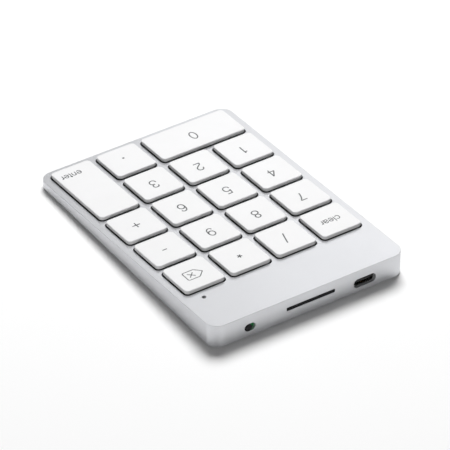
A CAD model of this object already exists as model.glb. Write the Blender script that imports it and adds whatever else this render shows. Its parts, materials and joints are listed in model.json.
"""Looks of a slim aluminium numeric keypad, built round its CAD frame in metres."""

import json
import math

import bmesh
import bpy
from mathutils import Matrix, Vector


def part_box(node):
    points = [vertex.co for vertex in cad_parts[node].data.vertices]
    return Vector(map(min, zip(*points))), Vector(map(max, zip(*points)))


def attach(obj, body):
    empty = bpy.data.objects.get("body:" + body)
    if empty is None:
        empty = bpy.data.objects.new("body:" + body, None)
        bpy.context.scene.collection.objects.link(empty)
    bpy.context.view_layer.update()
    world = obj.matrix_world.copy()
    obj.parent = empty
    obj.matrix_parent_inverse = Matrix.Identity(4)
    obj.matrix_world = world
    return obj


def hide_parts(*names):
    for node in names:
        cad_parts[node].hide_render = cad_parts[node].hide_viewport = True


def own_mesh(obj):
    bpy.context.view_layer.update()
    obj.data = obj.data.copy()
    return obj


bl_info = {
    "name": "Slim numeric keypad",
    "version": (1, 0, 0),
    "blender": (4, 5, 0),
    "location": "3D View > Sidebar > Keypad",
    "description": "Builds the visible pieces of a slim numeric keypad round its CAD frame",
    "category": "Object",
}

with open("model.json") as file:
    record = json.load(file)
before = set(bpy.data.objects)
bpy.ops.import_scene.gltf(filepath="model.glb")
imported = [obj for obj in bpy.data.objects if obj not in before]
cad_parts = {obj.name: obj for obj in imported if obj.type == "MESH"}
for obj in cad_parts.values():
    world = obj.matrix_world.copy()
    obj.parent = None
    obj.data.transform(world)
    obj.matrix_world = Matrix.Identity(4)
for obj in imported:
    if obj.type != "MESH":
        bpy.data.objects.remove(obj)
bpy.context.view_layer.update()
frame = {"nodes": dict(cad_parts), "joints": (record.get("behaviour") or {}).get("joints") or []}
MM = 0.001

# ---------- places read from the frame ----------

KEYS = [name[len("links_"):] for name in frame["nodes"] if name.startswith("links_")]
DECK_NORMAL = Vector(next(j for j in frame["joints"] if j["name"] == "press_5")["axis"])
TILT = math.atan2(-DECK_NORMAL.y, DECK_NORMAL.z)
CASE_LOW, CASE_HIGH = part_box("top_case")
DECK_AT_MIDDLE = CASE_HIGH.z - CASE_HIGH.y * math.tan(TILT)
# The deck's own frame: origin on the deck's face over the case's middle, Z along the deck's normal
DECK = Matrix.Translation((0, 0, DECK_AT_MIDDLE)) @ Matrix.Rotation(TILT, 4, "X")

# Heights along the deck's normal and sizes of the key parts, as the CAD has them
CAP_TOP = 1.45 * MM
CAP_SHOULDER = 1.2 * MM
CAP_UNDER = 0.6 * MM
CAP_CORNER = 1.5 * MM
CAP_BOTTOM = 0.1 * MM
SHEET_TOP = -1.65 * MM


def key_frame(key):
    """Matrix from a key's own frame (origin on the deck's face) and its cap's width and depth."""
    low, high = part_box("key_" + key)
    leaning = (CAP_SHOULDER - CAP_BOTTOM) * math.sin(TILT)
    depth = (high.y - low.y - leaning) / math.cos(TILT)
    middle = (low.y + high.y) / 2 + (CAP_SHOULDER + CAP_BOTTOM) / 2 * math.sin(TILT)
    place = DECK @ Matrix.Translation(((low.x + high.x) / 2, middle / math.cos(TILT), 0))
    return place, high.x - low.x, depth


def linear(hex_value):
    """sRGB hex value as a linear colour with alpha."""
    channels = [int(hex_value[i : i + 2], 16) / 255 for i in (1, 3, 5)]
    curve = [c / 12.92 if c <= 0.04045 else ((c + 0.055) / 1.055) ** 2.4 for c in channels]
    return (*curve, 1.0)


# ---------- sizes and colours a user would change ----------


def length(name, description, default):
    """A length property, its default given in millimetres."""
    return bpy.props.FloatProperty(
        name=name, description=description, default=default * MM, min=0.0, unit="LENGTH", precision=5
    )


def colour(name, description, default):
    """A colour property, its default given as an sRGB hex value."""
    return bpy.props.FloatVectorProperty(
        name=name, description=description, default=linear(default), size=4, min=0.0, max=1.0,
        subtype="COLOR",
    )


class KeypadSizes(bpy.types.PropertyGroup):
    """Sizes of the edges, the printing and the stage."""

    deck_edge: length("Deck edge", "Width of the small bevel round the deck", 0.1)
    window_edge: length("Window edge", "Width of the broken edge of each key window", 0.12)
    port_edge: length("Port edge", "Width of the chamfer round the openings in the back wall", 0.05)
    rim_edge: length("Rim edge", "Width of the bevel on the case's lower rim", 0.25)
    cap_round: length("Cap rounding", "Radius of the rounded edge round a cap's top", 0.32)
    digit_height: length("Digit height", "Height of a printed digit", 4.85)
    digit_stroke: length("Digit stroke", "Width of a printed digit's line", 0.46)
    word_height: length("Word height", "Height of a small letter in a printed word", 1.98)
    word_stroke: length("Word stroke", "Width of a printed word's line", 0.36)
    ink: length("Ink thickness", "Thickness of the printed ink", 0.012)
    floor: length("Floor size", "Side of the floor", 6000)


class KeypadColours(bpy.types.PropertyGroup):
    """Colours of the finishes."""

    metal: colour("Metal", "Anodised aluminium of the case", "#DADBDE")
    cap: colour("Cap", "White plastic of the key caps", "#EEEEEF")
    ink: colour("Ink", "Grey ink of the key legends", "#66686A")
    mark: colour("Slider mark", "Green paint that shows when the power is on", "#2FA35C")
    floor: colour("Floor", "Floor and backdrop", "#FAFAFA")


# ---------- nodes and meshes ----------


def add(tree, kind, inputs=None, **settings):
    """Adds one node: settings are its properties, inputs its values or links, by name or number."""
    node = tree.nodes.new(kind)
    for name, value in settings.items():
        setattr(node, name, value)
    for key, value in (inputs or {}).items():
        if isinstance(value, bpy.types.NodeSocket):
            tree.links.new(value, node.inputs[key])
        else:
            node.inputs[key].default_value = value
    return node


def new_tree(name, inputs):
    """Starts a geometry tree with named inputs; gives the tree and the sockets of its input node."""
    tree = bpy.data.node_groups.new(name, "GeometryNodeTree")
    for label, kind in inputs:
        tree.interface.new_socket(label, in_out="INPUT", socket_type="NodeSocket" + kind)
    tree.interface.new_socket("Mesh", in_out="OUTPUT", socket_type="NodeSocketGeometry")
    return tree, add(tree, "NodeGroupInput").outputs


def end_tree(tree, geometry, material):
    """Ends a geometry tree in Realize Instances and Set Material."""
    real = add(tree, "GeometryNodeRealizeInstances", {"Geometry": geometry})
    painted = add(tree, "GeometryNodeSetMaterial", {"Geometry": real.outputs[0], "Material": material})
    add(tree, "NodeGroupOutput", {"Mesh": painted.outputs[0]})
    return tree


def loft_tree():
    """Rule of the moulded parts: rows of (inset, corner radius, height) swept round a rounded rectangle."""
    tree, given = new_tree("Outline loft", (
        ("Rows", "Geometry"), ("Width", "Float"), ("Depth", "Float"), ("Corner Steps", "Int"),
        ("Open Ends", "Bool"), ("Material", "Material"),
    ))
    rows = add(tree, "GeometryNodeAttributeDomainSize", {"Geometry": given["Rows"]}, component="MESH")
    known = {"rows": rows.outputs["Point Count"], "steps": given["Corner Steps"]}
    known["width"] = given["Width"]
    known["depth"] = given["Depth"]

    def work(*lines):
        for name, operation, *terms in lines:
            inputs = {i: known[t] if isinstance(t, str) else t for i, t in enumerate(terms)}
            known[name] = add(tree, "ShaderNodeMath", inputs, operation=operation).outputs[0]

    work(
        ("ring", "ADD", "steps", 1.0),
        ("around", "MULTIPLY", "ring", 4.0),
        ("levels", "SUBTRACT", "rows", 1.0),
        ("half levels", "MULTIPLY", "levels", 0.5),
    )
    tube = {"Vertices": known["around"], "Side Segments": known["levels"], "Radius": 1.0}
    tube["Depth"] = known["levels"]
    closed = add(tree, "GeometryNodeMeshCylinder", tube, fill_type="NGON")
    hollow = add(tree, "GeometryNodeMeshCylinder", tube, fill_type="NONE")
    start = add(tree, "GeometryNodeSwitch", {
        "Switch": given["Open Ends"], "False": closed.outputs["Mesh"], "True": hollow.outputs["Mesh"],
    }, input_type="GEOMETRY")
    here = add(tree, "GeometryNodeInputPosition").outputs[0]
    flat = add(tree, "ShaderNodeSeparateXYZ", {0: here})
    known.update(x=flat.outputs[0], y=flat.outputs[1], z=flat.outputs[2])
    work(
        ("level", "ADD", "z", "half levels"),
        ("row", "ADD", "level", 0.25),
        ("angle", "ARCTAN2", "y", "x"),
        ("share", "DIVIDE", "angle", 2 * math.pi),
        ("turn", "ADD", "share", 1.0),
        ("count", "MULTIPLY", "turn", "around"),
        ("whole", "ADD", "count", 0.25),
        ("wrapped", "MODULO", "whole", "around"),
        ("quarter", "DIVIDE", "wrapped", "ring"),
        ("corner", "FLOOR", "quarter"),
        ("rest", "MODULO", "wrapped", "ring"),
        ("step", "FLOOR", "rest"),
        ("part", "DIVIDE", "step", "steps"),
        ("sum", "ADD", "corner", "part"),
        ("bearing", "MULTIPLY", "sum", math.pi / 2),
        ("corner middle", "ADD", "corner", 0.5),
        ("corner bearing", "MULTIPLY", "corner middle", math.pi / 2),
        ("cos", "COSINE", "bearing"),
        ("sin", "SINE", "bearing"),
        ("cos side", "COSINE", "corner bearing"),
        ("sin side", "SINE", "corner bearing"),
        ("side x", "SIGN", "cos side"),
        ("side y", "SIGN", "sin side"),
    )
    row = add(tree, "GeometryNodeSampleIndex", {
        "Geometry": given["Rows"], "Value": add(tree, "GeometryNodeInputPosition").outputs[0],
        "Index": known["row"],
    }, data_type="FLOAT_VECTOR", domain="POINT")
    split = add(tree, "ShaderNodeSeparateXYZ", {0: row.outputs["Value"]})
    known.update({"inset": split.outputs[0], "radius": split.outputs[1], "height": split.outputs[2]})
    work(
        ("half width", "MULTIPLY", "width", 0.5),
        ("half depth", "MULTIPLY", "depth", 0.5),
        ("margin", "ADD", "inset", "radius"),
        ("reach x", "SUBTRACT", "half width", "margin"),
        ("reach y", "SUBTRACT", "half depth", "margin"),
        ("centre x", "MULTIPLY", "reach x", "side x"),
        ("centre y", "MULTIPLY", "reach y", "side y"),
        ("px", "MULTIPLY_ADD", "radius", "cos", "centre x"),
        ("py", "MULTIPLY_ADD", "radius", "sin", "centre y"),
    )
    place = add(tree, "ShaderNodeCombineXYZ", {0: known["px"], 1: known["py"], 2: known["height"]})
    moved = add(tree, "GeometryNodeSetPosition", {
        "Geometry": start.outputs[0], "Position": place.outputs[0],
    })
    return end_tree(tree, moved.outputs[0], given["Material"])


def path_tree():
    """Rule of wires and printed lines: a section swept along the edges of a mesh."""
    tree, given = new_tree("Section along a path", (
        ("Path", "Geometry"), ("Width", "Float"), ("Thickness", "Float"), ("Bend Radius", "Float"),
        ("Printed", "Bool"), ("Material", "Material"),
    ))
    line = add(tree, "GeometryNodeMeshToCurve", {"Mesh": given["Path"]}).outputs[0]
    bent = add(tree, "GeometryNodeFilletCurve", {
        "Curve": line, "Count": 6, "Radius": given["Bend Radius"], "Limit Radius": True,
    }, mode="POLY")
    curved = add(tree, "GeometryNodeCurveSplineType", {"Curve": line}, spline_type="CATMULL_ROM")
    fine = add(tree, "GeometryNodeSetSplineResolution", {"Geometry": curved.outputs[0], "Resolution": 5})
    upright = add(tree, "GeometryNodeSetCurveNormal", {"Curve": fine.outputs[0]}, mode="Z_UP")
    path = add(tree, "GeometryNodeSwitch", {
        "Switch": given["Printed"], "False": bent.outputs[0], "True": upright.outputs[0],
    }, input_type="GEOMETRY")
    half = add(tree, "ShaderNodeMath", {0: given["Width"], 1: 0.5}, operation="MULTIPLY")
    round_section = add(tree, "GeometryNodeCurvePrimitiveCircle", {
        "Resolution": 20, "Radius": half.outputs[0],
    })
    flat_section = add(tree, "GeometryNodeCurvePrimitiveQuadrilateral", {
        "Width": given["Width"], "Height": given["Thickness"],
    })
    section = add(tree, "GeometryNodeSwitch", {
        "Switch": given["Printed"], "False": round_section.outputs[0], "True": flat_section.outputs[0],
    }, input_type="GEOMETRY")
    solid = add(tree, "GeometryNodeCurveToMesh", {
        "Curve": path.outputs[0], "Profile Curve": section.outputs[0], "Fill Caps": True,
    })
    return end_tree(tree, solid.outputs[0], given["Material"])


def repeat_tree():
    """Rule of screws, feet, hooks and contacts: one piece set at every point, turned as the point says."""
    tree, given = new_tree("Piece at every point", (
        ("Points", "Geometry"), ("Piece", "Object"), ("Material", "Material"),
    ))
    piece = add(tree, "GeometryNodeObjectInfo", {"Object": given["Piece"], "As Instance": True})
    turn = add(tree, "GeometryNodeInputNamedAttribute", {"Name": "turn"}, data_type="FLOAT_VECTOR")
    copies = add(tree, "GeometryNodeInstanceOnPoints", {
        "Points": given["Points"], "Instance": piece.outputs["Geometry"], "Rotation": turn.outputs[0],
    })
    return end_tree(tree, copies.outputs[0], given["Material"])


TREES = {}


def grown(rule, base, values):
    """Runs a geometry tree on a base mesh and gives the result as a plain mesh."""
    if rule not in TREES:
        TREES[rule] = {"loft": loft_tree, "path": path_tree, "repeat": repeat_tree}[rule]()
    tree = TREES[rule]
    holder = bpy.data.objects.new("holder", base)
    bpy.context.scene.collection.objects.link(holder)
    modifier = holder.modifiers.new("rule", "NODES")
    modifier.node_group = tree
    for socket in tree.interface.items_tree:
        if socket.in_out == "INPUT" and socket.name in values:
            modifier[socket.identifier] = values[socket.name]
    graph = bpy.context.evaluated_depsgraph_get()
    mesh = bpy.data.meshes.new_from_object(holder.evaluated_get(graph))
    holder.modifiers.remove(modifier)
    bpy.data.objects.remove(holder)
    if not mesh.polygons:
        raise RuntimeError(f"the rule {rule} made no faces")
    return mesh


def points_mesh(points, edges=(), turns=None):
    """Mesh of bare points and edges, with an optional turn at each point."""
    mesh = bpy.data.meshes.new("points")
    mesh.from_pydata([tuple(p) for p in points], list(edges), [])
    if turns is not None:
        layer = mesh.attributes.new("turn", "FLOAT_VECTOR", "POINT")
        layer.data.foreach_set("vector", [value for turn in turns for value in turn])
    return mesh


def loft(rows, width, depth, material, steps=8, ring=False):
    """Moulded shape from rows of (inset, corner radius, height); the rows and sizes are in metres."""
    return grown("loft", points_mesh(rows), {
        "Width": width, "Depth": depth, "Corner Steps": steps, "Open Ends": ring, "Material": material,
    })


def turned(rows, material, steps=8):
    """Turned shape from rows of (radius, height) in metres."""
    outer = max(radius for radius, _ in rows)
    return loft([(outer - r, r, z) for r, z in rows], 2 * outer, 2 * outer, material, steps)


def plug(rows, width, depth, corner, material, steps=8):
    """Loft whose corner radius shrinks as its rows of (inset, height) step in."""
    return loft([(inset, corner - inset, z) for inset, z in rows], width, depth, material, steps)


def in_mm(rows):
    """Rows given in millimetres, in metres."""
    return [tuple(value * MM for value in row) for row in rows]


def repeat(unit, places, material, turns=None):
    """One mesh with a copy of the unit mesh at every place."""
    holder = bpy.data.objects.new("unit", unit)
    bpy.context.scene.collection.objects.link(holder)
    spins = turns or [(0.0, 0.0, 0.0)] * len(places)
    mesh = grown("repeat", points_mesh(places, turns=spins), {"Piece": holder, "Material": material})
    bpy.data.objects.remove(holder)
    return mesh


def extruded(outline, y_low, y_high):
    """Solid of an outline of (x, z) points drawn out along Y."""
    bm = bmesh.new()
    low = [bm.verts.new((x, y_low, z)) for x, z in outline]
    high = [bm.verts.new((x, y_high, z)) for x, z in outline]
    bm.faces.new(low)
    bm.faces.new(list(reversed(high)))
    for i in range(len(outline)):
        j = (i + 1) % len(outline)
        bm.faces.new((low[i], high[i], high[j], low[j]))
    return as_mesh(bm)


def as_mesh(bm):
    """Closes a bmesh: doubles merged, faces turned outwards, made a mesh."""
    bmesh.ops.remove_doubles(bm, verts=bm.verts, dist=1e-7)
    bmesh.ops.recalc_face_normals(bm, faces=bm.faces)
    mesh = bpy.data.meshes.new("solid")
    bm.to_mesh(mesh)
    bm.free()
    return mesh


def box_mesh(low, high, edge):
    """Block with softened edges between two corners."""
    bm = bmesh.new()
    bmesh.ops.create_cube(bm, size=1.0)
    for vertex in bm.verts:
        vertex.co = Vector([low[i] if vertex.co[i] < 0 else high[i] for i in range(3)])
    bmesh.ops.bevel(bm, geom=bm.edges[:], offset=edge, segments=2, profile=0.6, affect="EDGES")
    return as_mesh(bm)


def softened(node, groups):
    """Merged copy of a CAD node's mesh whose picked sharp edges are rounded.

    groups is a list of (width, test): test says from an edge's two ends whether it takes that width.
    """
    bm = bmesh.new()
    bm.from_mesh(frame["nodes"][node].data)
    bmesh.ops.remove_doubles(bm, verts=bm.verts, dist=2e-6)
    bmesh.ops.dissolve_limit(bm, angle_limit=0.005, verts=bm.verts, edges=bm.edges)
    for width, test in groups:
        edges = [
            e for e in bm.edges
            if e.is_manifold and e.calc_face_angle(0) > math.radians(40) and test(*(v.co for v in e.verts))
        ]
        if edges:
            bmesh.ops.bevel(
                bm, geom=edges, offset=width, segments=2, profile=0.5, affect="EDGES", clamp_overlap=False
            )
    mesh = bpy.data.meshes.new(node)
    bm.to_mesh(mesh)
    bm.free()
    return mesh


def joined(*meshes):
    """One mesh of several, each given as a mesh or as (mesh, matrix)."""
    bm = bmesh.new()
    for item in meshes:
        mesh, place = item if isinstance(item, tuple) else (item, Matrix())
        part = mesh.copy()
        part.transform(place)
        bm.from_mesh(part)
        bpy.data.meshes.remove(part)
    mesh = bpy.data.meshes.new("joined")
    bm.to_mesh(mesh)
    bm.free()
    return mesh


def piece(name, mesh, material, body, slot=None, replaces=(), place=None, smooth=40, flat_faces=True):
    """Makes the finished object: placed in its mesh, shaded, painted, riding on its body."""
    mesh.name = name
    if place is not None:
        mesh.transform(place)
    bm = bmesh.new()
    bm.from_mesh(mesh)
    bmesh.ops.remove_doubles(bm, verts=bm.verts, dist=5e-7)
    bmesh.ops.dissolve_degenerate(bm, edges=bm.edges, dist=2e-7)
    bm.to_mesh(mesh)
    bm.free()
    mesh.materials.clear()
    mesh.materials.append(material)
    for polygon in mesh.polygons:
        polygon.use_smooth = True
        polygon.material_index = 0
    mesh.set_sharp_from_angle(angle=math.radians(smooth))
    obj = bpy.data.objects.new(name, mesh)
    bpy.context.scene.collection.objects.link(obj)
    if flat_faces:
        weighted = obj.modifiers.new("weighted normals", "WEIGHTED_NORMAL")
        weighted.keep_sharp = True
        graph = bpy.context.evaluated_depsgraph_get()
        shaded = bpy.data.meshes.new_from_object(obj.evaluated_get(graph))
        obj.modifiers.remove(weighted)
        obj.data = shaded
        shaded.name = name
    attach(obj, body)
    if replaces:
        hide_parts(*replaces)
    return obj


# ---------- finishes ----------


def look(title, light, dark, rough, patch, **more):
    """One finish: its name, two tones, range of roughness, size of its patches and what else it needs."""
    return dict(title=title, light=light, dark=dark, rough=rough, patch=patch, **more)


# Every finish is a fine grain in the relief, a slow change of tone, and a slow change of roughness.
# light and dark are its two tones, grain and patch the pattern sizes in millimetres, relief the bump in
# millimetres. Grains under about 0.3 mm are drawn at 0.3 mm, the finest that shows at this distance; a
# finish that names no grain or relief takes these.
GRAIN = 0.3
RELIEF = 0.002
FINISHES = {
    # Sheet aluminium, bead blasted and clear anodised: silver-grey satin with a fine frosted grain. The
    # frosted oxide skin scatters about a quarter of the light, so only the rest behaves as bare metal
    "anodised_aluminium": look(
        "Anodised aluminium, bead blasted", "#E3E4E6", "#DCDDDF", (0.34, 0.4), 22, metallic=0.75,
        relief=0.0012),
    # White ABS, moulded in a spark-eroded tool: matt white with a very fine even texture
    "cap_abs": look(
        "White ABS, moulded", "#FBFBFA", "#F6F6F4", (0.42, 0.5), 9, ior=1.53, grain=0.35, relief=0.0015),
    # Grey pad-printing ink: flat grey, a little duller than the plastic
    "legend_ink": look(
        "Pad-printing ink, grey", "#6C6E70", "#666869", (0.55, 0.65), 2, ior=1.48, relief=0.0008),
    # Polycarbonate and ABS blend, moulded: pale grey with a light leather-free grain
    "cover_plastic": look(
        "Polycarbonate blend, moulded", "#D9DADC", "#CFD0D2", (0.45, 0.58), 14, ior=1.57, grain=0.5,
        relief=0.006),
    # Silicone rubber feet, moulded: dull dark grey that picks up dust
    "foot_rubber": look(
        "Silicone rubber, moulded", "#4B4C4E", "#3B3C3E", (0.7, 0.9), 3, ior=1.43, grain=0.35,
        relief=0.008),
    # Nickel-plated steel screws: bright with fine turning marks
    "screw_steel": look(
        "Nickel-plated steel, cold headed", "#BDBBB6", "#9C9A95", (0.22, 0.36), 1.2, metallic=1),
    # Stamped sheet steel under a dark dip coating: near black with faint long rolling marks
    "plate_steel": look(
        "Coated steel, stamped", "#3A3B3E", "#303134", (0.4, 0.55), 7, ior=1.5, grain=0.4, stretch=9),
    # Black polyester film, screen printed with carbon tracks: near black with dull grey lines
    "membrane_film": look(
        "Polyester film, screen printed", "#232527", "#3B3E40", (0.25, 0.4), 5, ior=1.6, grain=0.5,
        relief=0.004, pattern="tracks", pitch=3.2),
    # Silicone, compression moulded: milky, soft, a little see-through
    "dome_silicone": look(
        "Silicone, compression moulded", "#E9EAEA", "#DADCDD", (0.4, 0.55), 2, ior=1.41, soft=0.3),
    # Drawn spring steel wire: bright with marks along its length
    "wire_steel": look(
        "Spring steel wire, drawn", "#C4C5C7", "#A3A4A6", (0.18, 0.3), 2, metallic=1, relief=0.001),
    # Glass-fibre laminate under a green solder mask: tracks show as lighter lines
    "board_laminate": look(
        "Epoxy laminate with solder mask", "#145236", "#1F7A50", (0.25, 0.35), 3, ior=1.55, grain=0.5,
        relief=0.01, pattern="tracks", pitch=1.6),
    # Black moulding resin of the chips: dull with a sandy skin
    "chip_resin": look(
        "Epoxy moulding compound", "#26272A", "#1B1C1E", (0.45, 0.65), 1.2, ior=1.55, relief=0.003),
    # Tinned steel can over the radio: bright grey, faintly mottled
    "shield_tin": look(
        "Tin-plated steel, drawn", "#C9CACB", "#AEB0B1", (0.25, 0.42), 2.5, metallic=1, relief=0.001),
    # Fired ceramic: pale cream and matt
    "antenna_ceramic": look("Ceramic, fired", "#E2D9C4", "#CFC5AF", (0.5, 0.65), 1.5, ior=1.6),
    # Nylon connector body, moulded: off-white with a waxy sheen
    "connector_nylon": look("Nylon, moulded", "#E7E2D3", "#D9D3C2", (0.38, 0.5), 3, ior=1.53),
    # Aluminium-laminate pouch: silver foil with soft wrinkles
    "cell_foil": look(
        "Aluminium laminate, pressed", "#C8CACC", "#B1B3B6", (0.25, 0.4), 11, metallic=1, grain=4,
        relief=0.05),
    # PVC lead insulation, extruded: red with a slight shine
    "lead_insulation": look("PVC insulation, extruded", "#B3261E", "#9C1F19", (0.35, 0.45), 2, ior=1.54),
    # The same insulation in black
    "lead_black": look("PVC insulation, extruded, black", "#202123", "#17181A", (0.35, 0.45), 2, ior=1.54),
    # Stainless socket shell, deep drawn: bright, drawn marks along its depth
    "socket_steel": look(
        "Stainless steel, deep drawn", "#C7C7C8", "#A9A9AB", (0.2, 0.32), 2, metallic=1, relief=0.001),
    # Gold-plated contacts: warm and bright
    "contact_gold": look(
        "Gold plate over nickel", "#D8B25A", "#C39A45", (0.15, 0.25), 1, metallic=1, relief=0.0005),
    # Glass-filled resin of the tongue: near black, matt
    "tongue_resin": look(
        "Liquid-crystal polymer, moulded", "#26272A", "#1E1F21", (0.4, 0.55), 1.5, ior=1.6),
    # Black acetal of the slider: dark and dull from a textured tool
    "slider_plastic": look(
        "Acetal, moulded, black", "#17181A", "#101113", (0.4, 0.52), 1.5, ior=1.48, specular=0.25),
    # Green paint on the slider's plate
    "slider_mark": look(
        "Enamel paint, green", "#2FA35C", "#29934F", (0.3, 0.4), 1.5, ior=1.5, relief=0.001),
    # Clear epoxy of the lamp with a yellow phosphor
    "led_resin": look("Epoxy lamp body", "#EDE9C9", "#E2DBAF", (0.2, 0.3), 0.6, ior=1.54, relief=0.001),
    # Smoked acrylic of the light pipe: near black until the lamp is lit
    "pipe_acrylic": look(
        "Acrylic, moulded, smoked", "#1A1B1D", "#131416", (0.08, 0.16), 0.8, ior=1.49, relief=0.0005,
        coat=0.5),
    # Black polycarbonate insert over the antenna: deep black, its skin eroded so fine that it barely shines
    "window_plastic": look(
        "Polycarbonate, moulded, black", "#161719", "#101112", (0.5, 0.62), 3, ior=1.585, specular=0.12,
        relief=0.0015),
    # Natural acetal links: waxy off-white
    "link_acetal": look(
        "Acetal, moulded, natural", "#E9E7DF", "#DEDBD1", (0.35, 0.5), 2, ior=1.48, relief=0.0015),
}


def finish(slot, colour_value=None):
    """The finish's material, built once: tone, roughness and relief all vary over the surface."""
    spec = FINISHES[slot]
    if spec["title"] in bpy.data.materials:
        return bpy.data.materials[spec["title"]]
    material = bpy.data.materials.new(spec["title"])
    material.use_nodes = True
    tree = material.node_tree
    tree.nodes.clear()
    light = tuple(colour_value) if colour_value else linear(spec["light"])
    fall = [b / max(a, 1e-6) for a, b in zip(linear(spec["light"]), linear(spec["dark"]))]
    dark = (*[channel * share for channel, share in zip(light[:3], fall)], 1.0)
    at = add(tree, "ShaderNodeTexCoord").outputs["Object"]
    stretch = spec.get("stretch", 1)
    place = add(tree, "ShaderNodeMapping", {"Vector": at, "Scale": (1 / MM, 1 / MM / stretch, 1 / MM)})
    where = place.outputs[0]
    tone = add(tree, "ShaderNodeTexNoise", {
        "Vector": where, "Scale": 1 / spec["patch"], "Detail": 3.0, "Roughness": 0.55,
    })
    grain = add(tree, "ShaderNodeTexNoise", {
        "Vector": where, "Scale": 1 / spec.get("grain", GRAIN), "Detail": 2.0, "Roughness": 0.6,
    })
    blend = tone.outputs["Fac"]
    if spec.get("pattern") == "tracks":
        lines = add(tree, "ShaderNodeTexVoronoi", {
            "Vector": where, "Scale": 1 / spec["pitch"], "Randomness": 0.65,
        }, feature="F1", distance="CHEBYCHEV")
        bands = add(tree, "ShaderNodeMath", {0: lines.outputs["Distance"], 1: 4.0}, operation="MULTIPLY")
        wave = add(tree, "ShaderNodeMath", {0: bands.outputs[0], 1: 1.0}, operation="PINGPONG")
        blend = add(tree, "ShaderNodeMapRange", {
            "Value": wave.outputs[0], "From Min": 0.45, "From Max": 0.55,
        }).outputs["Result"]
    mix = add(tree, "ShaderNodeMix", {0: blend, 6: light, 7: dark}, data_type="RGBA")
    low, high = spec["rough"]
    rough = add(tree, "ShaderNodeMapRange", {
        "Value": grain.outputs["Fac"], "From Min": 0.3, "From Max": 0.7, "To Min": low, "To Max": high,
    })
    bump = add(tree, "ShaderNodeBump", {
        "Height": grain.outputs["Fac"], "Strength": 1.0, "Distance": spec.get("relief", RELIEF) * MM,
    })
    shader = add(tree, "ShaderNodeBsdfPrincipled", {
        "Base Color": mix.outputs[2], "Roughness": rough.outputs["Result"], "Normal": bump.outputs[0],
        "Metallic": spec.get("metallic", 0.0),
    })
    if "ior" in spec:
        shader.inputs["IOR"].default_value = spec["ior"]
    if "specular" in spec:
        shader.inputs["Specular IOR Level"].default_value = spec["specular"]
    if "coat" in spec:
        shader.inputs["Coat Weight"].default_value = spec["coat"]
    if "soft" in spec:
        shader.inputs["Subsurface Weight"].default_value = spec["soft"]
        shader.inputs["Subsurface Radius"].default_value = (1.0, 1.0, 1.0)
        shader.inputs["Subsurface Scale"].default_value = 0.6 * MM
    add(tree, "ShaderNodeOutputMaterial", {"Surface": shader.outputs[0]})
    return material


# ---------- printed legends ----------


def arc(x, y, width, height, start, end, count=10):
    """Points on an ellipse, angles in degrees."""
    turn = [math.radians(start + (end - start) * i / count) for i in range(count + 1)]
    return [(x + width * math.cos(a), y + height * math.sin(a)) for a in turn]


def loop(points):
    """A closed line: its first point repeated at the end marks it."""
    return [*points, points[0]]


SIX = [
    loop(arc(0.0, -0.185, 0.27, 0.315, 0, 324, 9)),
    [(0.245, 0.3), (0.19, 0.43), (0.04, 0.5), (-0.12, 0.445), (-0.235, 0.26), (-0.275, 0.0), (-0.27, -0.2)],
]
# Each digit or sign is drawn between -0.5 and 0.5, one unit being the digit height
SIGNS = {
    "0": [loop(arc(0, 0, 0.28, 0.5, 0, 336, 14))],
    "1": [
        [(0.07, -0.5), (0.07, 0.5)],
        [(0.07, 0.5), (0.03, 0.39), (-0.05, 0.325), (-0.17, 0.305)],
    ],
    "2": [
        [(-0.26, 0.19), (-0.235, 0.35), (-0.13, 0.47), (0.01, 0.5), (0.16, 0.455), (0.25, 0.34),
         (0.255, 0.19), (0.18, 0.04), (0.02, -0.1), (-0.15, -0.23), (-0.25, -0.36), (-0.285, -0.5)],
        [(-0.3, -0.5), (0.27, -0.5)],
    ],
    "3": [
        [(-0.25, 0.25), (-0.21, 0.41), (-0.09, 0.49), (0.03, 0.5), (0.17, 0.44), (0.225, 0.31),
         (0.19, 0.15), (0.07, 0.06), (-0.06, 0.045)],
        [(-0.02, 0.045), (0.14, 0.02), (0.255, -0.09), (0.275, -0.25), (0.2, -0.42), (0.05, -0.5),
         (-0.09, -0.495), (-0.22, -0.41), (-0.27, -0.28), (-0.275, -0.2)],
    ],
    "4": [[(0.12, -0.5), (0.12, 0.5)], [(0.12, 0.49), (-0.3, -0.21)], [(-0.31, -0.21), (0.31, -0.21)]],
    "5": [
        [(0.23, 0.5), (-0.18, 0.5)],
        [(-0.18, 0.5), (-0.235, 0.01)],
        [(-0.235, 0.01), (-0.13, 0.11), (0.01, 0.145), (0.16, 0.1), (0.255, -0.01), (0.275, -0.18),
         (0.235, -0.35), (0.13, -0.46), (-0.01, -0.5), (-0.16, -0.46), (-0.25, -0.35), (-0.275, -0.22)],
    ],
    "6": SIX,
    "7": [
        [(-0.28, 0.5), (0.28, 0.5)],
        [(0.28, 0.5), (0.12, 0.25), (0.0, -0.02), (-0.075, -0.28), (-0.11, -0.5)],
    ],
    "8": [loop(arc(0, 0.27, 0.225, 0.23, 0, 330, 11)), loop(arc(0, -0.23, 0.27, 0.27, 0, 330, 11))],
    "9": [[(-x, -y) for x, y in line] for line in SIX],
    "plus": [[(-0.35, 0), (0.35, 0)], [(0, -0.35), (0, 0.35)]],
    "minus": [[(-0.21, 0), (0.21, 0)]],
    "divide": [[(-0.19, -0.66), (0.19, 0.66)]],
    "multiply": [
        [(0, 0), (0.22 * math.sin(math.radians(72 * i)), 0.22 * math.cos(math.radians(72 * i)))]
        for i in range(5)
    ],
    "decimal": [loop([(-0.04, -0.04), (0.04, -0.04), (0.04, 0.04), (-0.04, 0.04)])],
}
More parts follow.
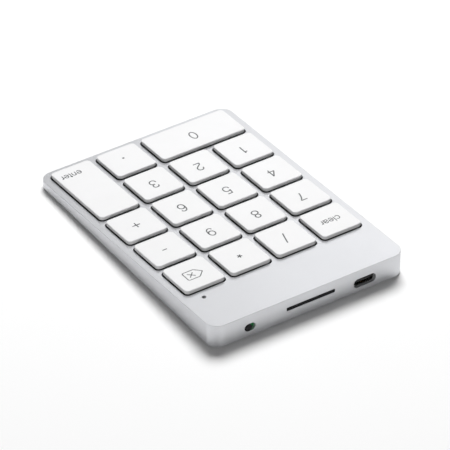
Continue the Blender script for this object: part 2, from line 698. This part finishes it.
# Small letters: one unit is the height of a small letter, the second value is how far the pen moves on
LETTERS = {
    "c": ([arc(0.47, 0.5, 0.4, 0.5, 38, 322, 12)], 0.98),
    "l": ([[(0.12, 0.0), (0.12, 1.42)]], 0.42),
    "e": ([[(0.07, 0.52), (0.87, 0.52)], arc(0.47, 0.5, 0.4, 0.5, 2, 318, 12)], 1.06),
    "a": ([
        [(0.1, 0.72), (0.17, 0.92), (0.42, 1.0), (0.66, 0.92), (0.74, 0.74), (0.74, 0.4), (0.75, 0.14),
         (0.81, 0.02), (0.92, 0.02)],
        [(0.74, 0.62), (0.5, 0.55), (0.2, 0.48), (0.06, 0.25), (0.15, 0.05), (0.36, 0.0), (0.6, 0.09),
         (0.74, 0.32)],
    ], 1.04),
    "r": ([[(0.12, 0.0), (0.12, 1.0)], [(0.12, 0.58), (0.2, 0.85), (0.34, 0.96), (0.5, 0.96)]], 0.62),
    "n": ([
        [(0.12, 0.0), (0.12, 1.0)],
        [(0.12, 0.62), (0.2, 0.86), (0.45, 1.0), (0.68, 0.9), (0.76, 0.68), (0.76, 0.34), (0.76, 0.0)],
    ], 0.98),
    "t": ([
        [(0.22, 1.3), (0.22, 0.6), (0.23, 0.16), (0.31, 0.02), (0.48, 0.02)],
        [(0.0, 0.99), (0.46, 0.99)],
    ], 0.6),
}


def word(text):
    """Lines of a word, centred, one unit being the height of a small letter."""
    lines = []
    pen = 0.0
    for letter in text:
        strokes, advance = LETTERS[letter]
        lines += [[(x + pen, y) for x, y in stroke] for stroke in strokes]
        pen += advance
    return [[(x - pen / 2, y) for x, y in line] for line in lines]


def erase_sign():
    """Outlined arrow to the left with a cross in it, in millimetres round its own middle."""
    body = [(-3.5, 0), (-1.2, 2.3), (-0.85, 2.42), (3.15, 2.42), (3.5, 2.1), (3.5, -2.1), (3.15, -2.42),
            (-0.85, -2.42), (-1.2, -2.3)]
    outline = loop(body)
    sides = [[outline[i], outline[i + 1]] for i in range(len(body))]
    cross = [[(-0.1, -1.15), (2.2, 1.15)], [(-0.1, 1.15), (2.2, -1.15)]]
    return sides + cross


def printed(lines, scale, stroke, thickness, material):
    """Mesh of printed lines from lists of points; a line that ends where it starts is closed."""
    points = []
    edges = []
    for line in lines:
        closed = len(line) > 2 and line[0] == line[-1]
        body = line[:-1] if closed else line
        first = len(points)
        points += [(x * scale, y * scale, 0.0) for x, y in body]
        edges += [(first + i, first + i + 1) for i in range(len(body) - 1)]
        if closed:
            edges.append((first + len(body) - 1, first))
    return grown("path", points_mesh(points, edges), {
        "Width": stroke, "Thickness": thickness, "Bend Radius": 0.0, "Printed": True,
        "Material": material,
    })


# ---------- operators ----------


# Place of the camera, the point that it looks at and its focal length in millimetres: a long lens from behind
CAMERA_PLACE = (0.67323, 1.03413, 0.92893)
CAMERA_AIM = Vector((-0.00253, -0.00021, 0.00040))
FOCAL_LENGTH = 348.84
SKY_STRENGTH = 0.09
# The key lights the paper and the plastic, the low fill the upright faces at the back; the sheen and the
# overhead panel show only in what mirrors, such as the metal. Rows of (name, place, width in metres, watts,
# the kind of ray that misses it)
LIGHTS = (
    ("key", (-0.495, -0.63, 1.268), 0.85, 27.0, "visible_glossy"),
    ("fill", (0.85, 0.9, 0.25), 0.4, 4.5, "visible_glossy"),
    ("sheen", (-0.9, -0.9, 0.795), 0.9, 3.8, "visible_diffuse"),
    ("overhead", (0.1, 0.0, 2.2), 2.2, 9.0, "visible_diffuse"),
)


class KEYPAD_OT_stage(bpy.types.Operator):
    """Sets the floor, the studio lights, the camera and the view"""

    bl_idname = "keypad.stage"
    bl_label = "Stage"

    def execute(self, context):
        scene = context.scene
        lens = bpy.data.cameras.new("camera")
        lens.sensor_width = 36.0
        lens.lens = FOCAL_LENGTH
        lens.clip_start = 0.05
        lens.clip_end = 20.0
        camera = bpy.data.objects.new("camera", lens)
        scene.collection.objects.link(camera)
        camera.location = CAMERA_PLACE
        camera.rotation_euler = (CAMERA_AIM - camera.location).to_track_quat("-Z", "Y").to_euler()
        scene.camera = camera

        world = bpy.data.worlds.new("studio")
        world.use_nodes = True
        world.node_tree.nodes.clear()
        sky = add(world.node_tree, "ShaderNodeBackground", {
            "Color": linear("#FFFFFF"), "Strength": SKY_STRENGTH,
        })
        add(world.node_tree, "ShaderNodeOutputWorld", {"Surface": sky.outputs[0]})
        scene.world = world

        for name, place, size, power, skipped in LIGHTS:
            lamp = bpy.data.lights.new(name, "AREA")
            lamp.shape = "DISK"
            lamp.size = size
            lamp.energy = power
            rig = bpy.data.objects.new(name, lamp)
            rig.location = place
            rig.rotation_euler = (-Vector(place)).to_track_quat("-Z", "Y").to_euler()
            setattr(rig, skipped, False)
            scene.collection.objects.link(rig)

        half = scene.keypad_sizes.floor / 2
        bm = bmesh.new()
        bmesh.ops.create_grid(bm, x_segments=8, y_segments=8, size=half)
        mesh = bpy.data.meshes.new("floor")
        bm.to_mesh(mesh)
        bm.free()
        floor = bpy.data.objects.new("floor", mesh)
        scene.collection.objects.link(floor)
        paper = bpy.data.materials.new("Matt studio paper")
        paper.use_nodes = True
        tree = paper.node_tree
        tree.nodes.clear()
        at = add(tree, "ShaderNodeTexCoord").outputs["Object"]
        fibre = add(tree, "ShaderNodeTexNoise", {"Vector": at, "Scale": 900.0, "Detail": 2.0})
        bump = add(tree, "ShaderNodeBump", {
            "Height": fibre.outputs["Fac"], "Strength": 0.1, "Distance": 0.02 * MM,
        })
        shader = add(tree, "ShaderNodeBsdfPrincipled", {
            "Base Color": tuple(scene.keypad_colours.floor), "Roughness": 0.9, "Specular IOR Level": 0.1,
            "Normal": bump.outputs[0],
        })
        add(tree, "ShaderNodeOutputMaterial", {"Surface": shader.outputs[0]})
        mesh.materials.append(paper)
        scene.view_settings.view_transform = "Standard"
        scene.view_settings.look = "None"
        return {"FINISHED"}


class KEYPAD_OT_case(bpy.types.Operator):
    """Builds the aluminium top case with its fine bevels"""

    bl_idname = "keypad.case"
    bl_label = "Top case"

    def execute(self, context):
        sizes = context.scene.keypad_sizes
        into_deck = DECK.inverted()
        corner = 5 * MM

        def on_deck(a, b):
            return max(abs((into_deck @ a).z), abs((into_deck @ b).z)) < 0.02 * MM

        def outside(point):
            x = max(abs(point.x) - (CASE_HIGH.x - corner), 0)
            y = max(abs(point.y) - (CASE_HIGH.y - corner), 0)
            return math.hypot(x, y) > corner - 0.1 * MM

        def deck_rim(a, b):
            return on_deck(a, b) and outside(a) and outside(b)

        def window(a, b):
            return on_deck(a, b) and not outside(a) and not outside(b)

        def port(a, b):
            flush = min(a.y, b.y) > CASE_HIGH.y - 0.01 * MM
            lifted = min(a.z, b.z) > CASE_LOW.z + 0.5 * MM
            return flush and lifted and not on_deck(a, b)

        def lower_rim(a, b):
            low = max(a.z, b.z) < CASE_LOW.z + 0.01 * MM
            return low and outside(a) and outside(b)

        mesh = softened("top_case", [
            (sizes.deck_edge, deck_rim), (sizes.window_edge, window),
            (sizes.port_edge, port), (sizes.rim_edge, lower_rim),
        ])
        metal = finish("anodised_aluminium", context.scene.keypad_colours.metal)
        piece("case_shell", mesh, metal, "case", "anodised_aluminium", ("top_case",))
        return {"FINISHED"}


class KEYPAD_OT_underside(bpy.types.Operator):
    """Builds the bottom cover, its screws and the rubber feet"""

    bl_idname = "keypad.underside"
    bl_label = "Underside"

    def execute(self, context):
        def under(a, b):
            return max(a.z, b.z) < CASE_LOW.z + 0.3 * MM

        cover = softened("bottom_cover", [(0.12 * MM, under)])
        piece("under_cover", cover, finish("cover_plastic"), "case", "cover_plastic", ("bottom_cover",))

        low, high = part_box("rubber_feet")
        foot = 4 * MM
        tall = high.z - low.z
        rubber = finish("foot_rubber")
        rows = [(foot - 0.45 * MM, 0.06 * MM), (foot - 0.3 * MM, 0), (foot - 0.12 * MM, 0.05 * MM),
                (foot, 0.2 * MM), (foot, tall - 0.05 * MM), (foot - 0.05 * MM, tall)]
        across = (low.x + foot, high.x - foot)
        along = (low.y + foot, high.y - foot)
        corners = [(x, y, low.z) for x in across for y in along]
        pads = repeat(turned(rows, rubber, 12), corners, rubber)
        piece("feet", pads, rubber, "case", "foot_rubber", ("rubber_feet",))

        steel = finish("screw_steel")
        cover_screws, inner_screws = self.screws(steel)
        piece("cover_screw_set", cover_screws, steel, "case", "screw_steel", ("cover_screws",))
        piece("inner_screw_set", inner_screws, steel, "case", "screw_steel", ("inner_screws",))
        return {"FINISHED"}

    def screws(self, steel):
        """Meshes of the cover screws and of the inner screws, some of which lean with the deck."""
        heads = islands("cover_screws")
        seats = [((low.x + high.x) / 2, (low.y + high.y) / 2, low.z) for low, high in heads]
        tall = heads[0][1].z - heads[0][0].z
        unit = screw_mesh(1.5 * MM, 0.29 * MM, 0.73 * MM, tall, 0.8 * MM, 0.2 * MM)
        cover = repeat(unit, seats, steel)

        inner_tall = 1.8 * MM
        unit = screw_mesh(1.2 * MM, 0.4 * MM, 0.63 * MM, inner_tall, 0.6 * MM, 0.25 * MM)
        upright = []
        leaning = []
        for low, high in islands("inner_screws"):
            middle = (low + high) / 2
            if high.z - low.z > inner_tall + 0.01 * MM:
                leaning.append(middle - DECK_NORMAL * inner_tall / 2)
            else:
                upright.append(Vector((middle.x, middle.y, low.z)))
        turns = [(TILT, 0, 0)] * len(leaning)
        return cover, joined(repeat(unit, upright, steel), repeat(unit, leaning, steel, turns))


def islands(node):
    """Boxes of a CAD node's separate solids."""
    bm = bmesh.new()
    bm.from_mesh(frame["nodes"][node].data)
    bmesh.ops.remove_doubles(bm, verts=bm.verts, dist=2e-6)
    left = set(bm.verts)
    boxes = []
    while left:
        group = [left.pop()]
        for vertex in group:
            for edge in vertex.link_edges:
                other = edge.other_vert(vertex)
                if other in left:
                    left.remove(other)
                    group.append(other)
        corners = [[v.co[i] for v in group] for i in range(3)]
        boxes.append((Vector([min(c) for c in corners]), Vector([max(c) for c in corners])))
    bm.free()
    return sorted(boxes, key=lambda box: (round(box[0].x, 4), round(box[0].y, 4)))


def screw_mesh(head, head_tall, shank, tall, drive, drive_deep):
    """Screw standing head down: a rounded head with a hexagon drive and a threaded shank."""
    sides = 24
    rows = [(0, drive_deep, False), (drive, drive_deep, True), (drive, 0.02 * MM, True)]
    rows += [(drive * 1.18, 0, False), (head * 0.86, 0, False), (head, head_tall * 0.35, False)]
    rows += [(head, head_tall * 0.96, False), (head * 0.97, head_tall, False), (shank, head_tall, False)]
    pitch = 0.25 * MM
    height = head_tall + pitch
    while height < tall - pitch:
        rows += [(shank * 0.84, height, False), (shank, height + pitch / 2, False)]
        height += pitch
    rows += [(shank * 0.8, tall - 0.03 * MM, False), (shank * 0.6, tall, False), (0, tall, False)]
    bm = bmesh.new()
    rings = []
    for radius, z, hexagon in rows:
        if radius == 0:
            rings.append([bm.verts.new((0, 0, z))])
            continue
        ring = []
        for i in range(sides):
            turn = 2 * math.pi * i / sides
            side = turn % (math.pi / 3) - math.pi / 6
            reach = radius * math.cos(math.pi / 6) / math.cos(side) if hexagon else radius
            ring.append(bm.verts.new((reach * math.cos(turn), reach * math.sin(turn), z)))
        rings.append(ring)
    for low, high in zip(rings, rings[1:]):
        for i in range(sides):
            j = (i + 1) % sides
            corners = [low[i % len(low)], low[j % len(low)], high[j % len(high)], high[i % len(high)]]
            bm.faces.new(list(dict.fromkeys(corners)))
    return as_mesh(bm)


class KEYPAD_OT_caps(bpy.types.Operator):
    """Builds the key caps, their clips and their printed legends"""

    bl_idname = "keypad.caps"
    bl_label = "Key caps"

    def execute(self, context):
        sizes = context.scene.keypad_sizes
        colours = context.scene.keypad_colours
        plastic = finish("cap_abs", colours.cap)
        ink = finish("legend_ink", colours.ink)
        for key in KEYS:
            place, width, depth = key_frame(key)
            shell = loft(self.rows(sizes.cap_round), width, depth, plastic)
            clips = self.clips(plastic, width, depth)
            body = "key_" + key
            piece("cap_" + key, joined(shell, clips), plastic, body, "cap_abs", (body,), place)
            top = place @ Matrix.Translation((0, 0, CAP_TOP))
            piece("legend_" + key, self.legend(key, sizes, ink), ink, body, place=top, smooth=30)
        return {"FINISHED"}

    def rows(self, rounding):
        """Rows of a cap from its ceiling, down inside, round its lower edge and up to its top."""
        wall = 0.9 * MM
        inner = CAP_CORNER - wall / 2
        inside = ((0.2, CAP_UNDER), (0.05, CAP_UNDER - 0.05 * MM), (0, CAP_UNDER - 0.15 * MM),
                  (0, CAP_BOTTOM + 0.08 * MM), (-0.06, CAP_BOTTOM))
        outside = ((0.08, CAP_BOTTOM), (0.02, CAP_BOTTOM + 0.05 * MM), (0, CAP_BOTTOM + 0.12 * MM))
        rows = [(wall + step * MM, inner - step * MM, height) for step, height in inside]
        rows += [(step * MM, CAP_CORNER - step * MM, height) for step, height in outside]
        count = 5
        for i in range(count + 1):
            turn = math.pi / 2 * i / count
            inset = rounding * (1 - math.cos(turn))
            rows.append((inset, CAP_CORNER - inset, CAP_TOP - rounding * (1 - math.sin(turn))))
        return rows

    def clips(self, plastic, width, depth):
        """Hooked clips under the cap that hold the links, and on a double cap the wire's walls."""
        foot = -CAP_UNDER - 0.36 * MM
        step = foot + 0.17 * MM
        thick = 0.25 * MM
        reach = 0.93 * MM
        outline = [(0, 0), (0, foot), (reach, foot), (reach, step), (thick, step), (thick, 0)]
        hook = extruded(outline, -0.5 * MM, 0.5 * MM)
        hook.transform(Matrix.Rotation(math.radians(-90), 4, "Z"))
        places = [(x * MM, y * MM, CAP_UNDER) for x in (-3.2, 3.2) for y in (6.15, -3.45)]
        hooks = repeat(hook, places, plastic)
        if abs(width - depth) < MM:
            return hooks
        turn = 0 if width > depth else -math.pi / 2
        wall = box_mesh((-MM, 5.95 * MM, 0), (MM, 6.2 * MM, CAP_UNDER), 0.04 * MM)
        walls = repeat(wall, [(-9 * MM, 0, 0), (9 * MM, 0, 0)], plastic)
        return joined(hooks, (walls, Matrix.Rotation(turn, 4, "Z")))

    def legend(self, key, sizes, ink):
        """Printed sign of a key, standing on its cap's top."""
        lift = Matrix.Translation((0, 0, sizes.ink / 2))
        words = {"clear": (0.3, -0.75), "enter": (2.35, -13.4)}
        if key in words:
            x, y = words[key]
            mesh = printed(word(key), sizes.word_height, sizes.word_stroke, sizes.ink, ink)
        elif key == "backspace":
            x, y = 0.05, 0.3
            mesh = printed(erase_sign(), MM, sizes.word_stroke, sizes.ink, ink)
        else:
            x, y = (0.3, 0.75) if key.isdigit() else (0.3, 0.45)
            if key == "decimal":
                x, y = 0.3, -1.4
            scale = sizes.digit_height - sizes.digit_stroke
            mesh = printed(SIGNS[key], scale, sizes.digit_stroke, sizes.ink, ink)
        mesh.transform(Matrix.Translation((x * MM, y * MM, 0)) @ lift)
        return mesh


class KEYPAD_OT_mechanism(bpy.types.Operator):
    """Builds the scissor links, domes, stabiliser wires, plate and sheet under the caps"""

    bl_idname = "keypad.mechanism"
    bl_label = "Key mechanism"

    def execute(self, context):
        acetal = finish("link_acetal")
        silicone = finish("dome_silicone")
        radii = (
            (0.35, 0.9), (0.7, 0.9), (0.8, 1.0), (0.8, 1.5), (0.9, 1.6), (1.35, 1.6), (1.5, 1.5),
            (2.66, 0.34), (2.75, 0.2), (2.75, 0.0), (3.56, 0.0), (3.6, 0.04), (3.6, 0.16), (3.52, 0.22),
            (3.2, 0.27), (3.0, 0.38), (2.05, 1.6), (1.92, 1.8), (1.9, 2.1), (1.86, 2.2), (1.75, 2.24),
        )
        dome = turned(in_mm(radii), silicone, 7)
        first = True
        for key in KEYS:
            place, _, _ = key_frame(key)
            links = softened("links_" + key, [(0.05 * MM, lambda a, b: (a - b).length > 0.6 * MM)])
            frame_pair = piece("scissor_" + key, links, acetal, "case", "link_acetal", ("links_" + key,))
            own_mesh(frame_pair)
            stands = place @ Matrix.Translation((0, 0, SHEET_TOP))
            replaced = ("rubber_domes",) if first else ()
            first = False
            cup = piece("dome_" + key, dome.copy(), silicone, "case", "dome_silicone", replaced, stands)
            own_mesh(cup)

        steel = finish("wire_steel")
        for key, name in (("0", "zero"), ("enter", "enter")):
            place, _, _ = key_frame(key)
            if key == "enter":
                place = place @ Matrix.Rotation(-math.pi / 2, 4, "Z")
            low = SHEET_TOP + 0.5 * MM
            high = CAP_UNDER - 0.5 * MM
            points = [
                (-11.3, 0.6, low), (-13, 0.6, low), (-13, 6.6, high), (13, 6.6, high), (13, 0.6, low),
                (11.3, 0.6, low),
            ]
            path = points_mesh(
                [(x * MM, y * MM, z) for x, y, z in points], [(i, i + 1) for i in range(len(points) - 1)]
            )
            wire = grown("path", path, {
                "Width": 0.7 * MM, "Bend Radius": 0.75 * MM, "Printed": False, "Material": steel,
            })
            node = name + "_stabiliser"
            body = name + "_wire"
            piece(body + "_bar", wire, steel, body, "wire_steel", (node,), place, flat_faces=False)

        plate = softened("key_plate", [(0.04 * MM, lambda a, b: (a - b).length > 0.9 * MM)])
        piece("stamped_plate", plate, finish("plate_steel"), "case", "plate_steel", ("key_plate",))
        paint("membrane", "membrane_film")
        return {"FINISHED"}


def paint(node, slot):
    """Gives a carried-over CAD node its procedural finish."""
    data = frame["nodes"][node].data
    data.materials.clear()
    data.materials.append(finish(slot))


class KEYPAD_OT_back_edge(bpy.types.Operator):
    """Builds the USB-C socket, antenna window, power slider and light pipe"""

    bl_idname = "keypad.back_edge"
    bl_label = "Back edge"

    def execute(self, context):
        along_y = Matrix.Rotation(-math.pi / 2, 4, "X")
        low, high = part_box("usb_shell")
        width = high.x - low.x
        tall = high.z - low.z
        deep = high.y - low.y
        half = tall / 2
        mouth = Matrix.Translation(((low.x + high.x) / 2, high.y, (low.z + high.z) / 2)) @ along_y
        steel = finish("socket_steel")
        wall = 0.3 * MM
        rows = (
            (wall + 0.25 * MM, 0.3 * MM - deep), (wall, 0.5 * MM - deep), (wall, -0.12 * MM),
            (wall * 0.75, -0.03 * MM), (wall * 0.5, 0.0), (wall * 0.2, -0.03 * MM), (0, -0.12 * MM),
            (0, 0.2 * MM - deep), (0.2 * MM, -deep),
        )
        shell = plug(rows, width, tall, half, steel, 10)
        piece("socket_shell", shell, steel, "case", "socket_steel", ("usb_shell",), mouth)

        low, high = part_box("usb_tongue")
        resin = finish("tongue_resin")
        blade = 0.35 * MM
        middle = Vector(((low.x + high.x) / 2, 0, (low.z + high.z) / 2))
        reach = 3.35 * MM
        block_front = low.y + 1.3 * MM
        gap = 0.35 * MM
        rows = in_mm(((0.2, 0), (0, 0.15), (0, 1.15), (0.15, 1.3)))
        block = plug(rows, width - 2 * gap, tall - 2 * gap, half - gap, resin, 10)
        block.transform(Matrix.Translation((middle.x, low.y, middle.z)) @ along_y)
        tongue = box_mesh(
            (middle.x - reach, block_front - 0.2 * MM, middle.z - blade),
            (middle.x + reach, high.y, middle.z + blade), 0.12 * MM,
        )
        piece("socket_tongue", joined(block, tongue), resin, "case", "tongue_resin", ("usb_tongue",))
        gold = finish("contact_gold")
        finger = box_mesh((-0.125 * MM, -1.6 * MM, -0.03 * MM), (0.125 * MM, 1.6 * MM, 0.03 * MM), 0.02 * MM)
        pitch = 0.5 * MM
        places = [
            (middle.x + (i - 5.5) * pitch, high.y - 2.1 * MM, middle.z + side * (blade + 0.01 * MM))
            for i in range(12) for side in (-1, 1)
        ]
        piece("socket_contacts", repeat(finger, places, gold), gold, "case", "socket_steel")

        low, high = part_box("antenna_window")
        black = finish("window_plastic")
        lip_wide = high.x - low.x
        lip_tall = high.z - low.z
        slot_wide = lip_wide - 2.1 * MM
        slot_tall = lip_tall - 1.5 * MM
        slot_corner = 0.35 * MM
        face = Matrix.Translation(((low.x + high.x) / 2, 0, (low.z + high.z) / 2))
        rows = in_mm(((0.1, 0), (0, 0.06), (0, 0.42), (0.06, 0.5)))
        lip = plug(rows, lip_wide, lip_tall, lip_tall / 2, black)
        bar_deep = high.y - low.y
        rows = (
            (0.05 * MM, 0.4 * MM), (0, 0.45 * MM), (0, bar_deep - 0.06 * MM),
            (0.02 * MM, bar_deep - 0.02 * MM), (0.06 * MM, bar_deep),
        )
        bar = plug(rows, slot_wide, slot_tall, slot_corner, black)
        seat = face @ Matrix.Translation((0, low.y, 0)) @ along_y
        piece("antenna_insert", joined(lip, bar), black, "case", "window_plastic", ("antenna_window",), seat)

        self.slider()
        self.lamp()
        return {"FINISHED"}

    def slider(self):
        """Power slider: a plate behind the wall, a domed round stud in the slot and a tail in the switch."""
        along_y = Matrix.Rotation(-math.pi / 2, 4, "X")
        low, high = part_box("switch_slider")
        black = finish("slider_plastic")
        stud_r = 1.45 * MM
        inner_face = CASE_HIGH.y - 1.3 * MM
        middle_z = low.z + 1.9 * MM
        knob_x = (low.x + high.x) / 2 - 0.1 * MM
        plate = box_mesh((low.x, inner_face - 0.45 * MM, low.z), (high.x, inner_face, high.z), 0.08 * MM)
        rise = high.y - inner_face
        # Steps in from the stud's side and down from its crown, in millimetres
        dome = ((0, 0.35), (0.05, 0.2), (0.18, 0.06), (0.4, 0), (0.6, 0.02), (0.85, 0.12), (1.25, 0.14))
        rows = [(stud_r, -0.05 * MM)] + [(stud_r - a * MM, rise - b * MM) for a, b in dome]
        stud = turned(rows, black)
        stud.transform(Matrix.Translation((knob_x, inner_face, middle_z)) @ along_y)
        tail = box_mesh(
            (knob_x - 0.5 * MM, low.y, middle_z - 0.63 * MM),
            (knob_x + 0.5 * MM, inner_face - 0.3 * MM, middle_z - 0.13 * MM), 0.06 * MM,
        )
        knob = joined(plate, stud, tail)
        piece("power_stud", knob, black, "power_slider", "slider_plastic", ("switch_slider",))
        green = finish("slider_mark", bpy.context.scene.keypad_colours.mark)
        patch = box_mesh(
            (low.x + 0.3 * MM, inner_face - 0.01 * MM, middle_z - 1.6 * MM),
            (knob_x - 0.2 * MM, inner_face + 0.03 * MM, middle_z + 1.6 * MM), 0.01 * MM,
        )
        piece("power_mark", patch, green, "power_slider", "slider_plastic")

    def lamp(self):
        """Light pipe with a shallow domed end in the deck."""
        low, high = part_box("light_pipe")
        acrylic = finish("pipe_acrylic")
        middle = (low + high) / 2
        along = DECK.inverted() @ Vector((middle.x, middle.y, high.z))
        place = DECK @ Matrix.Translation((middle.x, along.y + 2.2 * MM * math.sin(TILT), 0))
        rows = [
            (0.5, -4.6), (0.66, -4.55), (0.7, -4.45), (0.7, -1.85), (1.25, -1.85), (1.3, -1.8), (1.3, -1.3),
            (1.25, -1.25), (0.7, -1.25), (0.7, -0.28), (0.66, -0.22), (0.5, -0.16), (0.25, -0.13),
        ]
        pipe = turned(in_mm(rows), acrylic, 6)
        piece("status_window", pipe, acrylic, "case", "pipe_acrylic", ("light_pipe",), place)
        paint("status_led", "led_resin")


class KEYPAD_OT_electronics(bpy.types.Operator):
    """Builds the circuit board, what stands on it, the cell and its leads"""

    bl_idname = "keypad.electronics"
    bl_label = "Electronics"

    def execute(self, context):
        def long_enough(a, b):
            return (a - b).length > 0.3 * MM

        for node, name, slot, edge in (
            ("main_board", "circuit_board", "board_laminate", 0.04),
            ("board_chips", "chip_bodies", "chip_resin", 0.05),
            ("radio_shield", "radio_can", "shield_tin", 0.08),
            ("chip_antenna", "antenna_block", "antenna_ceramic", 0.06),
            ("ribbon_connector", "tail_socket", "connector_nylon", 0.06),
            ("switch_body", "switch_frame", "chip_resin", 0.05),
        ):
            mesh = softened(node, [(edge * MM, long_enough)])
            material = finish(slot)
            piece(name, mesh, material, "case", slot, (node,))

        low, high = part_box("battery")
        foil = finish("cell_foil")
        width, depth, tall = high - low
        pouch = loft([
            (1.2 * MM, 0.6 * MM, 0.0), (0.3 * MM, 0.9 * MM, 0.05 * MM), (0.0, 1.0 * MM, 0.3 * MM),
            (0.0, 1.0 * MM, tall - 0.5 * MM), (0.3 * MM, 0.9 * MM, tall - 0.12 * MM),
            (1.2 * MM, 0.6 * MM, tall),
        ], width, depth, foil, 5)
        middle = (low + high) / 2
        stands = Matrix.Translation((middle.x, middle.y, low.z))
        piece("cell_pouch", pouch, foil, "case", "cell_foil", ("battery",), stands)

        thick = 0.9 * MM
        radius = thick / 2
        names = ("lead_minus", "lead_plus")
        slots = ("lead_black", "lead_insulation")
        replaced = ((), ("battery_leads",))
        for (low, high), name, slot, nodes in zip(islands("battery_leads"), names, slots, replaced):
            x = (low.x + high.x) / 2
            bottom = low.z + radius
            top = high.z - radius
            points = [(x, low.y, bottom), (x, low.y + 2.2 * MM, bottom), (x, low.y + 4 * MM, top),
                      (x, high.y, top)]
            material = finish(slot)
            lead = grown("path", points_mesh(points, [(0, 1), (1, 2), (2, 3)]), {
                "Width": thick, "Bend Radius": 1.2 * MM, "Printed": False, "Material": material,
            })
            piece(name, lead, material, "case", "lead_insulation", nodes, flat_faces=False)
        return {"FINISHED"}


class KEYPAD_PT_pieces(bpy.types.Panel):
    """Lists the keypad's pieces"""

    bl_idname = "KEYPAD_PT_pieces"
    bl_label = "Numeric keypad"
    bl_space_type = "VIEW_3D"
    bl_region_type = "UI"
    bl_category = "Keypad"

    def draw(self, context):
        for operator in OPERATORS:
            self.layout.operator(operator.bl_idname)
        for group in (context.scene.keypad_sizes, context.scene.keypad_colours):
            column = self.layout.column()
            for name in group.__annotations__:
                column.prop(group, name)


OPERATORS = (
    KEYPAD_OT_stage, KEYPAD_OT_case, KEYPAD_OT_underside, KEYPAD_OT_caps, KEYPAD_OT_mechanism,
    KEYPAD_OT_back_edge, KEYPAD_OT_electronics,
)
CLASSES = (KeypadSizes, KeypadColours, *OPERATORS, KEYPAD_PT_pieces)


def register():
    """Registers the classes and the two groups of settings."""
    for cls in CLASSES:
        bpy.utils.register_class(cls)
    bpy.types.Scene.keypad_sizes = bpy.props.PointerProperty(type=KeypadSizes)
    bpy.types.Scene.keypad_colours = bpy.props.PointerProperty(type=KeypadColours)


def unregister():
    """Removes what register made."""
    del bpy.types.Scene.keypad_colours
    del bpy.types.Scene.keypad_sizes
    for cls in reversed(CLASSES):
        bpy.utils.unregister_class(cls)


def main():
    """Builds every piece in order."""
    register()
    bpy.ops.keypad.stage()
    bpy.ops.keypad.case()
    bpy.ops.keypad.underside()
    bpy.ops.keypad.caps()
    bpy.ops.keypad.mechanism()
    bpy.ops.keypad.back_edge()
    bpy.ops.keypad.electronics()


if __name__ == "__main__":
    main()
